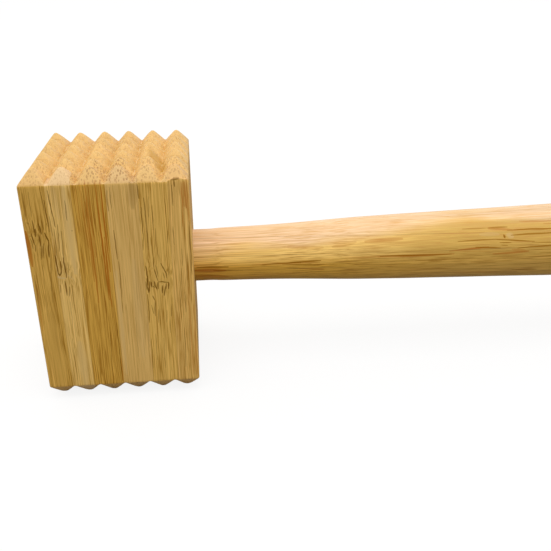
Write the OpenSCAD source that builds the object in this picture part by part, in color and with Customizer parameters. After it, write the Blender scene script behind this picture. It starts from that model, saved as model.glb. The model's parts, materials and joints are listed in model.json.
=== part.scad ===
// Bamboo meat mallet. A square head, glued up from vertical bamboo strips, has a square grid of
// pyramid teeth on each striking face. A turned, laminated bamboo handle is glued into a blind
// bore in one side of the head.
// Frame: millimetres. The origin is the centre of the head's flat end face, on the handle's axis.
// +X runs along the handle, +Z is up towards one striking face, -Y is the front of the head.

/* [Head] */
// Width of the head along the handle
head_w = 60; // [56:1:72]
// Depth of the head from front to back
head_d = 60; // [54:1:72]
// Height of the head between the bottoms of the tooth grooves
head_h = 84.5; // [70:0.5:110]
// Chamfer on the four upright corners of the head
corner_chamfer = 0.8; // [0.4:0.1:1.5]

/* [Teeth] */
// Number of teeth along each side of a striking face
tooth_count = 6; // [4:1:8]
// Height of a tooth from groove bottom to its blunted tip
tooth_h = 5.5; // [3.5:0.1:6.5]
// Width of the small flat that blunts each tip
tooth_flat = 0.9; // [0.5:0.1:2]

/* [Laminations] */
// First glue line in the odd plies, measured from the end face
odd_cut_1 = 9.5; // [8:0.5:12]
// Second glue line in the odd plies
odd_cut_2 = 18; // [17:0.5:20]
// Third glue line in the odd plies
odd_cut_3 = 30; // [28:0.5:31]
// Fourth glue line in the odd plies
odd_cut_4 = 41.5; // [40:0.5:43]
// Fifth glue line in the odd plies
odd_cut_5 = 52; // [47:0.5:54]
// First glue line in the even plies
even_cut_1 = 14; // [12:0.5:15]
// Second glue line in the even plies
even_cut_2 = 25.5; // [25:0.5:27]
// Third glue line in the even plies
even_cut_3 = 37; // [35:0.5:38]
// Fourth glue line in the even plies
even_cut_4 = 48; // [46:0.5:49]

/* [Handle joint] */
// Diameter of the round tenon and of the straight neck next to the head
neck_d = 21.8; // [20:0.1:24]
// Distance from the end face to the bottom of the blind bore
bore_floor = 22; // [20.5:0.5:24.5]
// Length of the straight neck showing outside the head
neck_l = 7.5; // [4:0.5:12]

/* [Handle] */
// Length of the handle outside the head
handle_l = 210; // [170:1:250]
// Diameter of the grip where it starts next to the neck
grip_d_0 = 22.2; // [20:0.1:26]
// Diameter one sixth of the way along the grip
grip_d_1 = 23.8; // [21:0.1:28]
// Diameter two sixths of the way along
grip_d_2 = 26.8; // [23:0.1:31]
// Diameter half way along
grip_d_3 = 28.7; // [24:0.1:33]
// Diameter four sixths of the way along
grip_d_4 = 30.2; // [25:0.1:35]
// Diameter five sixths of the way along
grip_d_5 = 31.9; // [26:0.1:36]
// Diameter where the butt starts to round off
grip_d_6 = 33.2; // [28:0.1:37]
// Length of the rounded butt end
butt_l = 21; // [12:1:28]
// Thickness of each inner handle stave
stave_t = 6.4; // [5.6:0.1:6.6]

/* [Hidden] */

ply_count = 8;
ply_t = head_d / ply_count;
stave_count = 5;
tip_z = head_h / 2 + tooth_h;
neck_end_x = head_w + neck_l;
handle_end_x = head_w + handle_l;
butt_x = handle_end_x - butt_l;
overrun = 1;     // how far a cutting shape runs past the part it cuts
turned_fn = 96;  // facets round the bore and the handle

// Bamboo tints, from straw to toasted brown: [red, green, blue].
TINTS = [
    [0.80, 0.62, 0.36], [0.85, 0.69, 0.45], [0.74, 0.53, 0.27], [0.83, 0.64, 0.38],
    [0.78, 0.59, 0.31], [0.88, 0.72, 0.50], [0.70, 0.48, 0.24]
];
// Both functions scatter the tints over the pieces.
function strip_tint(ply, strip) = TINTS[(ply * 3 + strip * 2 + ply * strip) % len(TINTS)];
function stave_tint(stave) = TINTS[(stave * 4) % len(TINTS)];

// ---- Head ----
// Plies are numbered from the front, and the strips in a ply from the end face.

// Ends and glue lines of the strips in a ply, along X. Odd and even plies are staggered.
odd_cuts = [0, odd_cut_1, odd_cut_2, odd_cut_3, odd_cut_4, odd_cut_5, head_w];
even_cuts = [0, even_cut_1, even_cut_2, even_cut_3, even_cut_4, head_w];
function cuts(ply) = ply % 2 == 1 ? odd_cuts : even_cuts;

// One row of blunted teeth from groove to groove: side = 1 is the top row, -1 the bottom row.
function tooth_row(pitch, side) = concat(
    [for (i = [0 : tooth_count - 1],
          point = [[0, 0],
                   [(pitch - tooth_flat) / 2, tooth_h],
                   [(pitch + tooth_flat) / 2, tooth_h]])
        [i * pitch + point[0], side * (head_h / 2 + point[1])]],
    [[tooth_count * pitch, side * head_h / 2]]
);
function reversed(list) = [for (i = [len(list) - 1 : -1 : 0]) list[i]];

// Outline of the head seen along its grooves, with teeth above and below.
function tooth_outline(width) =
    let (pitch = width / tooth_count)
    concat(tooth_row(pitch, 1), reversed(tooth_row(pitch, -1)));

// Grooves that run front to back.
module grooved_along_y() {
    translate([0, head_d / 2, 0]) rotate([90, 0, 0])
        linear_extrude(head_d) polygon(tooth_outline(head_w));
}

// Grooves that run across the head. Where both meet, the ridges are left as pyramids.
module grooved_along_x() {
    translate([0, -head_d / 2, 0]) rotate([90, 0, 90])
        linear_extrude(head_w) polygon(tooth_outline(head_d));
}

// Plan of the head with its four upright corners chamfered.
module head_plan() {
    back = head_d / 2;
    back_cut = back - corner_chamfer;
    right_cut = head_w - corner_chamfer;
    polygon([
        [corner_chamfer, -back], [right_cut, -back],
        [head_w, -back_cut], [head_w, back_cut],
        [right_cut, back], [corner_chamfer, back],
        [0, back_cut], [0, -back_cut]
    ]);
}

// Blind bore for the tenon, open at the side the handle leaves from.
module bore() {
    translate([bore_floor, 0, 0]) rotate([0, 90, 0])
        cylinder(h = head_w - bore_floor + overrun, d = neck_d, $fn = turned_fn);
}

// One upright bamboo strip of the head. Where the bore passes right through a strip, what is left
// is two pieces, one above the bore and one below it.
WHOLE = 0;
UPPER = 1;
LOWER = -1;
module head_strip(ply, strip, part = WHOLE) {
    x_start = cuts(ply)[strip - 1];
    x_end = cuts(ply)[strip];
    y_front = (ply - 1) * ply_t - head_d / 2;
    y_back = y_front + ply_t;
    z_bottom = part == UPPER ? 0 : -tip_z;
    z_top = part == LOWER ? 0 : tip_z;
    reaches_bore = x_end > bore_floor && y_front < neck_d / 2 && y_back > -neck_d / 2;
    at_corner = (ply == 1 || ply == ply_count) && (strip == 1 || strip == len(cuts(ply)) - 1);
    color(strip_tint(ply, strip)) difference() {
        intersection() {
            translate([x_start, y_front, z_bottom])
                cube([x_end - x_start, y_back - y_front, z_top - z_bottom]);
            grooved_along_y();
            grooved_along_x();
            if (at_corner) translate([0, 0, -tip_z]) linear_extrude(2 * tip_z) head_plan();
        }
        if (reaches_bore) bore();
    }
}

// ---- Handle ----

flare_l = 0.6;           // length of the short cone from the neck out to the grip
steps_per_station = 2;   // outline steps between neighbouring grip stations
butt_steps = 8;          // outline steps round the butt

// Grip diameters at equal steps from the neck to the butt.
grip_stations = [grip_d_0, grip_d_1, grip_d_2, grip_d_3, grip_d_4, grip_d_5, grip_d_6];
last_station = len(grip_stations) - 1;
grip_steps = last_station * steps_per_station;
grip_x = neck_end_x + flare_l;

// Diameter at a station, carried on in a straight line before the first and level after the last.
function station_dia(i) =
    i < 0 ? 2 * grip_stations[0] - grip_stations[1]
    : i > last_station ? grip_stations[last_station]
    : grip_stations[i];

// Diameter of the grip at a place counted in stations: a Catmull-Rom curve through them all.
function grip_dia(place) =
    let (i = min(last_station - 1, floor(place)),
         along = place - i,
         before = station_dia(i - 1),
         start = station_dia(i),
         end = station_dia(i + 1),
         after = station_dia(i + 2),
         slope = end - before,
         square_term = 2 * before - 5 * start + 4 * end - after,
         cube_term = 3 * start - before - 3 * end + after)
    start + along * (slope + along * (square_term + along * cube_term)) / 2;

// Half outline of the turned handle, from the tenon to the butt: [radius, distance along X].
handle_outline = concat(
    [[0, bore_floor], [neck_d / 2, bore_floor], [neck_d / 2, neck_end_x]],
    [for (i = [0 : grip_steps])
        [grip_dia(i / steps_per_station) / 2, grip_x + (butt_x - grip_x) * i / grip_steps]],
    [for (i = [1 : butt_steps])
        let (angle = 90 * i / butt_steps)
        [grip_d_6 / 2 * cos(angle), butt_x + butt_l * sin(angle)]]
);

module handle_blank() {
    rotate([0, 90, 0]) rotate_extrude($fn = turned_fn) polygon(handle_outline);
}

// One stave of the handle, numbered from the bottom. Flat staves are glued face to face and
// turned as one, so the two outer ones take whatever the inner ones leave.
module handle_stave(stave) {
    reach = grip_d_6;  // well clear of the handle's surface
    z_bottom = stave == 1 ? -reach : (stave - 1 - stave_count / 2) * stave_t;
    z_top = stave == stave_count ? reach : (stave - stave_count / 2) * stave_t;
    color(stave_tint(stave)) intersection() {
        handle_blank();
        translate([bore_floor - overrun, -reach, z_bottom])
            cube([handle_end_x - bore_floor + 2 * overrun, 2 * reach, z_top - z_bottom]);
    }
}

// ---- Nodes ----

module head_ply1_strip1() { head_strip(1, 1); }
module head_ply1_strip2() { head_strip(1, 2); }
module head_ply1_strip3() { head_strip(1, 3); }
module head_ply1_strip4() { head_strip(1, 4); }
module head_ply1_strip5() { head_strip(1, 5); }
module head_ply1_strip6() { head_strip(1, 6); }
module head_ply2_strip1() { head_strip(2, 1); }
module head_ply2_strip2() { head_strip(2, 2); }
module head_ply2_strip3() { head_strip(2, 3); }
module head_ply2_strip4() { head_strip(2, 4); }
module head_ply2_strip5() { head_strip(2, 5); }
module head_ply3_strip1() { head_strip(3, 1); }
module head_ply3_strip2() { head_strip(3, 2); }
module head_ply3_strip3() { head_strip(3, 3); }
module head_ply3_strip4() { head_strip(3, 4); }
module head_ply3_strip5() { head_strip(3, 5); }
module head_ply3_strip6() { head_strip(3, 6); }
module head_ply4_strip1() { head_strip(4, 1); }
module head_ply4_strip2() { head_strip(4, 2); }
module head_ply4_strip3_upper() { head_strip(4, 3, UPPER); }
module head_ply4_strip3_lower() { head_strip(4, 3, LOWER); }
module head_ply4_strip4_upper() { head_strip(4, 4, UPPER); }
module head_ply4_strip4_lower() { head_strip(4, 4, LOWER); }
module head_ply4_strip5_upper() { head_strip(4, 5, UPPER); }
module head_ply4_strip5_lower() { head_strip(4, 5, LOWER); }
module head_ply5_strip1() { head_strip(5, 1); }
module head_ply5_strip2() { head_strip(5, 2); }
module head_ply5_strip3() { head_strip(5, 3); }
module head_ply5_strip4_upper() { head_strip(5, 4, UPPER); }
module head_ply5_strip4_lower() { head_strip(5, 4, LOWER); }
module head_ply5_strip5_upper() { head_strip(5, 5, UPPER); }
module head_ply5_strip5_lower() { head_strip(5, 5, LOWER); }
module head_ply5_strip6_upper() { head_strip(5, 6, UPPER); }
module head_ply5_strip6_lower() { head_strip(5, 6, LOWER); }
module head_ply6_strip1() { head_strip(6, 1); }
module head_ply6_strip2() { head_strip(6, 2); }
module head_ply6_strip3() { head_strip(6, 3); }
module head_ply6_strip4() { head_strip(6, 4); }
module head_ply6_strip5() { head_strip(6, 5); }
module head_ply7_strip1() { head_strip(7, 1); }
module head_ply7_strip2() { head_strip(7, 2); }
module head_ply7_strip3() { head_strip(7, 3); }
module head_ply7_strip4() { head_strip(7, 4); }
module head_ply7_strip5() { head_strip(7, 5); }
module head_ply7_strip6() { head_strip(7, 6); }
module head_ply8_strip1() { head_strip(8, 1); }
module head_ply8_strip2() { head_strip(8, 2); }
module head_ply8_strip3() { head_strip(8, 3); }
module head_ply8_strip4() { head_strip(8, 4); }
module head_ply8_strip5() { head_strip(8, 5); }
module handle_bottom_stave() { handle_stave(1); }
module handle_lower_stave() { handle_stave(2); }
module handle_core_stave() { handle_stave(3); }
module handle_upper_stave() { handle_stave(4); }
module handle_top_stave() { handle_stave(5); }

head_ply1_strip1();
head_ply1_strip2();
head_ply1_strip3();
head_ply1_strip4();
head_ply1_strip5();
head_ply1_strip6();
head_ply2_strip1();
head_ply2_strip2();
head_ply2_strip3();
head_ply2_strip4();
head_ply2_strip5();
head_ply3_strip1();
head_ply3_strip2();
head_ply3_strip3();
head_ply3_strip4();
head_ply3_strip5();
head_ply3_strip6();
head_ply4_strip1();
head_ply4_strip2();
head_ply4_strip3_upper();
head_ply4_strip3_lower();
head_ply4_strip4_upper();
head_ply4_strip4_lower();
head_ply4_strip5_upper();
head_ply4_strip5_lower();
head_ply5_strip1();
head_ply5_strip2();
head_ply5_strip3();
head_ply5_strip4_upper();
head_ply5_strip4_lower();
head_ply5_strip5_upper();
head_ply5_strip5_lower();
head_ply5_strip6_upper();
head_ply5_strip6_lower();
head_ply6_strip1();
head_ply6_strip2();
head_ply6_strip3();
head_ply6_strip4();
head_ply6_strip5();
head_ply7_strip1();
head_ply7_strip2();
head_ply7_strip3();
head_ply7_strip4();
head_ply7_strip5();
head_ply7_strip6();
head_ply8_strip1();
head_ply8_strip2();
head_ply8_strip3();
head_ply8_strip4();
head_ply8_strip5();
handle_bottom_stave();
handle_lower_stave();
handle_core_stave();
handle_upper_stave();
handle_top_stave();
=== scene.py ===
"""A bamboo meat mallet: a toothed block glued up from plies of strips, on a turned handle.

The handle runs along X: the head's end face is at x = 0, the butt is at the far +X end. The front
is at -Y, and both striking faces, each six by six teeth, look along Z with z = 0 midway between.
Modelling sizes are in millimetres and become metres when a mesh is made.
"""
import json
import math

import bmesh
import bpy
from mathutils import Matrix, Vector, noise


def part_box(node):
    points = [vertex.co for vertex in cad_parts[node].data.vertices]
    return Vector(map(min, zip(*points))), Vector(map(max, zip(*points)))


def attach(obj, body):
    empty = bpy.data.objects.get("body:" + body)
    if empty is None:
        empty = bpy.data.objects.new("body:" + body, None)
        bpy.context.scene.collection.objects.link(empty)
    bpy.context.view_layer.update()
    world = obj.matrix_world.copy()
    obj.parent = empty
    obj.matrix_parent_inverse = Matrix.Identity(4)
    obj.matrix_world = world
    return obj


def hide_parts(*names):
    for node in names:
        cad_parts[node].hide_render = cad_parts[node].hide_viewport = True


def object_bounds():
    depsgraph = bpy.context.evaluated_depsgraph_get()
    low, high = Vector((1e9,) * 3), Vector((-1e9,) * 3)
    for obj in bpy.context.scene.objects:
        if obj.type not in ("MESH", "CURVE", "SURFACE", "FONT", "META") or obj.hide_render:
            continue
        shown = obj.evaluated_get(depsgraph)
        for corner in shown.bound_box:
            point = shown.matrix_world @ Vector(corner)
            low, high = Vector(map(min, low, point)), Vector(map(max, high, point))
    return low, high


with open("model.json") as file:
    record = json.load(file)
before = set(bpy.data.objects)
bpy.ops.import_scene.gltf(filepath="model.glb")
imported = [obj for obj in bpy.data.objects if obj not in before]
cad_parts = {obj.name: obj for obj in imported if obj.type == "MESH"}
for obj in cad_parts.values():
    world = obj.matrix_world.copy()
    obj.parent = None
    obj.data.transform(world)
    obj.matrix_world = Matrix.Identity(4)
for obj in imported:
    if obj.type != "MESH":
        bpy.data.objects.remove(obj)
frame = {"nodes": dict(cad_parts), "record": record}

cad_lo, cad_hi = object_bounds()
MM = 0.001

# ---------------------------------------------------------------- sizes

TEETH = 6                                    # teeth along and across, and strips in a ply
PLIES = 8
HEAD_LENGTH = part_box("head_ply1_strip6")[1].x / MM    # along the handle
HEAD_DEPTH = (cad_hi.y - cad_lo.y) / MM               # front to back
TIP_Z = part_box("head_ply1_strip1")[1].z / MM          # tooth tips
PITCH = HEAD_LENGTH / TEETH
TOOTH = 5.5
VALLEY_Z = TIP_Z - TOOTH
CORNER_R = 0.75                              # the head's upright corners
EDGE_R = 0.55                                # round on the rim of a striking face

BORE_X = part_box("handle_core_stave")[0].x / MM
NECK_R = 10.9
NECK_END = HEAD_LENGTH + 7.5
GRIP_START = NECK_END + 0.6
BUTT_X = cad_hi.x / MM - 21.0                # where the domed butt begins
BUTT_LENGTH = 21.0
BUTT_TIP = cad_hi.x / MM
# grip diameters at even stations from GRIP_START to BUTT_X
GRIP = [22.2, 23.8, 26.8, 28.7, 30.2, 31.9, 33.2]

# how far each glue line of the front ply leans, by its x: mm towards +X at the top, -X at the bottom
LEAN = {0.0: 0.0, 9.5: 0.0, 18.0: 0.3, 30.0: 0.4, 41.5: 0.1, 52.0: 0.5}


def noise_at(x, y, z, scale, seed):
    shift = seed * 13.7, -seed * 7.1, seed * 3.3
    return noise.noise(Vector([v * scale + s for v, s in zip((x, y, z), shift)]))


def hash01(*keys):
    """A fixed number from 0 to 1 for up to three whole numbers."""
    value = math.sin(sum(a * b for a, b in zip(keys, (12.9898, 78.233, 37.719)))) * 43758.5453
    return value - math.floor(value)


def smoothstep(t):
    t = min(1.0, max(0.0, t))
    return t * t * (3 - 2 * t)


def new_object(name, verts, faces):
    """verts are in mm."""
    mesh = bpy.data.meshes.new(name)
    mesh.from_pydata([(x * MM, y * MM, z * MM) for x, y, z in verts], [], faces)
    mesh.validate()
    obj = bpy.data.objects.new(name, mesh)
    bpy.context.scene.collection.objects.link(obj)
    return obj


# ---------------------------------------------------------------- head: toothed strips
# In this section x counts from the end face and y from the front face.

def tooth_height(x, y, face):
    """Height over the groove bottoms. face: 0 on top, 1 below."""
    i = min(TEETH - 1, max(0, int(x // PITCH)))
    j = min(TEETH - 1, max(0, int(y // PITCH)))
    wear = hash01(i * 6 + j + face * 36)
    u = abs(x - (i + 0.5) * PITCH) / (PITCH / 2)
    v = abs(y - (j + 0.5) * PITCH) / (PITCH / 2)
    outward = (u ** 14 + v ** 14) ** (1 / 14)       # 0 at the tip, 1 along the square foot
    blunt = 0.125 + 0.07 * wear
    height = TOOTH / (1 - 0.125) * (1 - math.sqrt(outward ** 2 + blunt ** 2))
    # grooves end in a narrow rounded root, not in a knife edge
    root = 0.05
    height = 0.5 * (height + root + math.sqrt((height - root) ** 2 + 0.03))
    # crushed and worn fibres
    height += 0.06 * noise_at(x, y, face * 5, 0.9, 1 + face) * smoothstep(height / 2)
    height += 0.035 * noise_at(x, y, face * 5, 2.6, 4 + face)
    return min(height, TOOTH - 0.003)


def torn_edge(x, y, height):
    """Torn fibres along the front top edge beside the handle."""
    if y >= 3.0 or x <= 51.5:
        return height
    fade = smoothstep((x - 51.8) / 1.6) * smoothstep((60.3 - x) / 1.0)
    ledge = (1.05 + 0.5 * noise_at(x, 0, 0, 0.8, 21)) * fade - 0.12 * y
    pits = 0.3 * fade * max(0.0, noise_at(x, y, 0, 1.7, 22)) * smoothstep(1.5 - y)
    return max(height, ledge) - pits


def edge_drop(x, y):
    """How far the small round on the head's outer edge lowers the surface."""
    gap = min(x, HEAD_LENGTH - x, y, HEAD_DEPTH - y)
    radius = EDGE_R * (1 + 0.35 * noise_at(x, y, 2, 0.25, 9))
    if gap >= radius:
        return 0.0
    return 0.8 * (radius - math.sqrt(max(0.0, radius * radius - (radius - gap) ** 2)))


def side_leans(x0, x1):
    """Lean of both sides of a front strip that spans x0 to x1."""
    def nearest(x):
        return min(LEAN.items(), key=lambda line: abs(line[0] - x))[1]
    return (nearest(x0) if x0 > 1 else 0.0,
            nearest(x1) if x1 < HEAD_LENGTH - 1 else 0.0)


def lean_at(x, x0, x1, z):
    """Sideways shift of a point of a front strip."""
    low, high = side_leans(x0, x1)
    t = (x - x0) / (x1 - x0)
    return (low + (high - low) * t) * max(-1.0, min(1.0, z / VALLEY_Z))


def grid_lines(start, stop, outer_start, outer_stop, step=0.42):
    """Mesh lines across a strip, closer together near its sides."""
    fine = [0, 0.07, 0.2, 0.38, 0.6]
    glue = [0, 0.1, 0.28]
    lo = [start + t for t in (fine if outer_start else glue)]
    hi = [stop - t for t in (fine if outer_stop else glue)]
    n = max(2, int(round((hi[-1] - lo[-1]) / step)))
    middle = [lo[-1] + (hi[-1] - lo[-1]) * k / n for k in range(1, n)]
    return lo + middle + hi[::-1]


def round_corner(x, y):
    """Pulls points at the head's upright corners onto the corner circle."""
    def centre(v, size):
        return CORNER_R if v < CORNER_R else (size - CORNER_R if v > size - CORNER_R else None)
    centre_x, centre_y = centre(x, HEAD_LENGTH), centre(y, HEAD_DEPTH)
    if centre_x is None or centre_y is None:
        return x, y
    dx, dy = x - centre_x, y - centre_y
    distance = math.hypot(dx, dy)
    if distance < 1e-9:
        return x, y
    # map the square corner onto the disc, so that no point lands on another
    shrink = max(abs(dx), abs(dy)) / distance
    return centre_x + dx * shrink, centre_y + dy * shrink


def build_strip(name, x0, x1, y0, y1, top_cut, bottom_cut):
    """One bamboo strip as a closed mesh. A cut strip stops at z = 0, beside the bore."""
    at_end, at_neck = x0 < 1e-6, x1 > HEAD_LENGTH - 1e-6
    at_front, at_back = y0 < 1e-6, y1 > HEAD_DEPTH - 1e-6
    xs = grid_lines(x0, x1, at_end, at_neck)
    ys = grid_lines(y0, y1, at_front, at_back)
    nx, ny = len(xs), len(ys)

    def glue(x, y):
        gaps = (x - x0, at_end), (x1 - x, at_neck), (y - y0, at_front), (y1 - y, at_back)
        return max(0.0, 1 - min([9.0] + [gap for gap, outer in gaps if not outer]) / 0.16)

    def lean(x, z):
        return lean_at(x, x0, x1, z) if at_front else 0.0

    def surface(x, y, side):
        height = tooth_height(x, y, 0 if side > 0 else 1)
        if side > 0:
            height = torn_edge(x, y, height)
        return side * (VALLEY_Z + height - edge_drop(x, y) - 0.02 * glue(x, y))

    verts, faces = [], []
    for side, cut in ((1, top_cut), (-1, bottom_cut)):
        for y in ys:
            for x in xs:
                leant = x + lean(x, side * VALLEY_Z)
                z = 0.0 if cut else surface(leant, y, side)
                px, py = round_corner(leant, y)
                # glue lines show as a hair-fine groove on the head's flat sides
                groove = 0.018 * glue(x, y)
                if at_front and y == ys[0]:
                    py += groove
                if at_back and y == ys[-1]:
                    py -= groove
                if at_end and x == xs[0]:
                    px += groove
                if at_neck and x == xs[-1]:
                    px -= groove
                verts.append((px, py - HEAD_DEPTH / 2, z))
    n = nx * ny
    for j in range(ny - 1):
        for i in range(nx - 1):
            a = j * nx + i
            faces.append((a, a + 1, a + nx + 1, a + nx))
            faces.append((n + a, n + a + nx, n + a + nx + 1, n + a + 1))

    # the upright sides, with loops close to both ends so that the sides stay flat
    ring = ([(i, 0) for i in range(nx)] + [(nx - 1, j) for j in range(1, ny)]
            + [(i, ny - 1) for i in range(nx - 2, -1, -1)] + [(0, j) for j in range(ny - 2, 0, -1)])
    upper = [VALLEY_Z - 1.1, VALLEY_Z - 1.6, 30, 20, 10]
    levels = [z for z in upper + [0] + [-z for z in reversed(upper)]
              if (not top_cut or z < -0.5) and (not bottom_cut or z > 0.5)]
    loops = [[j * nx + i for i, j in ring]]
    for z in levels:
        start = len(verts)
        for (i, _), a in zip(ring, loops[0]):
            shift = lean(xs[i], z) - lean(xs[i], VALLEY_Z)
            verts.append((verts[a][0] + shift, verts[a][1], z))
        loops.append(list(range(start, start + len(ring))))
    loops.append([n + j * nx + i for i, j in ring])
    for high, low in zip(loops, loops[1:]):
        for k in range(len(ring)):
            q = (k + 1) % len(ring)
            faces.append((low[k], low[q], high[q], high[k]))
    return new_object(name, verts, faces)


def make_cutter():
    """The cylinder that bores the head for the neck."""
    n = 192
    # turned by half a step, so that none of its points lies on the plane between two plies
    angles = [2 * math.pi * (k + 0.5) / n for k in range(n)]
    verts = [(x, NECK_R * math.cos(a), NECK_R * math.sin(a))
             for x in (BORE_X, HEAD_LENGTH + 5) for a in angles]
    faces = [(k, (k + 1) % n, n + (k + 1) % n, n + k) for k in range(n)]
    faces += [tuple(range(n - 1, -1, -1)), tuple(range(n, 2 * n))]
    obj = new_object("bore_cutter", verts, faces)
    bm = bmesh.new()
    bm.from_mesh(obj.data)
    bmesh.ops.recalc_face_normals(bm, faces=bm.faces)
    bm.to_mesh(obj.data)
    bm.free()
    return obj


def bore_out(obj, cutter):
    mod = obj.modifiers.new("bore", "BOOLEAN")
    mod.operation = "DIFFERENCE"
    mod.solver = "EXACT"
    mod.object = cutter
    depsgraph = bpy.context.evaluated_depsgraph_get()
    mesh = bpy.data.meshes.new_from_object(obj.evaluated_get(depsgraph))
    obj.modifiers.clear()
    old = obj.data
    obj.data = mesh
    mesh.name = obj.name
    bpy.data.meshes.remove(old)


def finish_mesh(obj, sharp_angle):
    mesh = obj.data
    bm = bmesh.new()
    bm.from_mesh(mesh)
    bmesh.ops.remove_doubles(bm, verts=bm.verts, dist=2e-7)
    bmesh.ops.dissolve_degenerate(bm, dist=1e-7, edges=bm.edges)
    bmesh.ops.recalc_face_normals(bm, faces=bm.faces)
    bm.to_mesh(mesh)
    bm.free()
    mesh.polygons.foreach_set("use_smooth", [True] * len(mesh.polygons))
    mesh.set_sharp_from_angle(angle=math.radians(sharp_angle))
    mesh.update()


# ---------------------------------------------------------------- handle staves

def grip_radius(x):
    """A smooth curve through the GRIP diameters."""
    def station(i):
        return 2 * GRIP[0] - GRIP[1] if i < 0 else GRIP[min(i, 6)]
    u = 6 * (x - GRIP_START) / (BUTT_X - GRIP_START)
    i = min(5, max(0, int(math.floor(u))))
    t = u - i
    a, b, c, d = (station(i + k) for k in (-1, 0, 1, 2))
    cubic = 3 * b - a - 3 * c + d
    return (b + t * ((c - a) + t * ((2 * a - 5 * b + 4 * c - d) + t * cubic)) / 2) / 2


def handle_radius(x):
    if x <= NECK_END - 1.5:
        return NECK_R
    if x < NECK_END + 4.5:
        t = smoothstep((x - NECK_END + 1.5) / 6.0)
        return NECK_R * (1 - t) + grip_radius(max(x, GRIP_START)) * t
    if x <= BUTT_X:
        return grip_radius(x)
    t = min(1.0, (x - BUTT_X) / BUTT_LENGTH)
    return GRIP[6] / 2 * math.sqrt(max(0.0, 1 - t ** 2.15))


def handle_stations():
    def steps(x, stop, step):
        while x < stop:
            yield x
            x += step
    stations = [BORE_X, *steps(BORE_X + 2, NECK_END - 2.4, 2.0)]
    stations += [NECK_END - 1.75 + 0.5 * k for k in range(14)]
    stations += steps(NECK_END + 6, BUTT_X - 0.5, 1.25)
    stations += [BUTT_X + BUTT_LENGTH * math.sin(math.pi / 2 * k / 30) for k in range(30)]
    return stations + [BUTT_TIP - 0.002]


def stave_ring(radius, z_lo, z_hi, exposed):
    """Outline of a stave across the handle, as (y, z), or None where the stave has run out."""
    arc_steps, flat_steps = 26, 8
    lo, hi = max(z_lo, -radius), min(z_hi, radius)
    if hi - lo < 1e-4:
        return None
    start, stop = math.asin(lo / radius), math.asin(hi / radius)
    front = []
    for k in range(arc_steps + 1):
        a = start + (stop - start) * (0.5 - 0.5 * math.cos(math.pi * k / arc_steps))
        # a hair-fine groove along the glue lines
        gap = min(a - start if z_lo > -radius else 9, stop - a if z_hi < radius else 9) * radius
        groove = 0.012 * max(0.0, 1 - gap / 0.18) if exposed else 0
        front.append((-(radius - groove) * math.cos(a), (radius - groove) * math.sin(a)))
    back = [(-y, z) for y, z in reversed(front)]

    def flat(y, z):
        return [(y + (-2 * y) * k / flat_steps, z) for k in range(1, flat_steps)]
    return front + flat(*front[-1]) + back + flat(*back[-1])


def build_stave(name, z_lo, z_hi):
    verts = []
    sections = 0
    for x in handle_stations():
        radius = handle_radius(x)
        exposed = x > HEAD_LENGTH
        if exposed:
            fade = smoothstep((x - NECK_END) / 15) * smoothstep((BUTT_X + 10 - x) / 10)
            radius += 0.05 * noise_at(x, 0, 0, 0.06, 31) * fade - 0.03
        ring = stave_ring(max(radius, 0.05), z_lo, z_hi, exposed)
        if ring:
            m = len(ring)
            verts += [(x, y, z) for y, z in ring]
            sections += 1
    faces = []
    for s in range(sections - 1):
        for k in range(m):
            a, b = s * m + k, s * m + (k + 1) % m
            faces.append((a, b, b + m, a + m))
    faces.append(tuple(range(m - 1, -1, -1)))
    faces.append(tuple(range((sections - 1) * m, sections * m)))
    return new_object(name, verts, faces)


# ---------------------------------------------------------------- shader node helpers

class Value:
    """An output socket that can be used in arithmetic; each operation adds a math node."""

    def __init__(self, tree, socket):
        self.tree = tree
        self.socket = socket

    def __add__(self, other): return self.tree.math("ADD", self, other)
    def __radd__(self, other): return self.tree.math("ADD", other, self)
    def __sub__(self, other): return self.tree.math("SUBTRACT", self, other)
    def __rsub__(self, other): return self.tree.math("SUBTRACT", other, self)
    def __mul__(self, other): return self.tree.math("MULTIPLY", self, other)
    def __rmul__(self, other): return self.tree.math("MULTIPLY", other, self)
    def __truediv__(self, other): return self.tree.math("DIVIDE", self, other)


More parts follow.
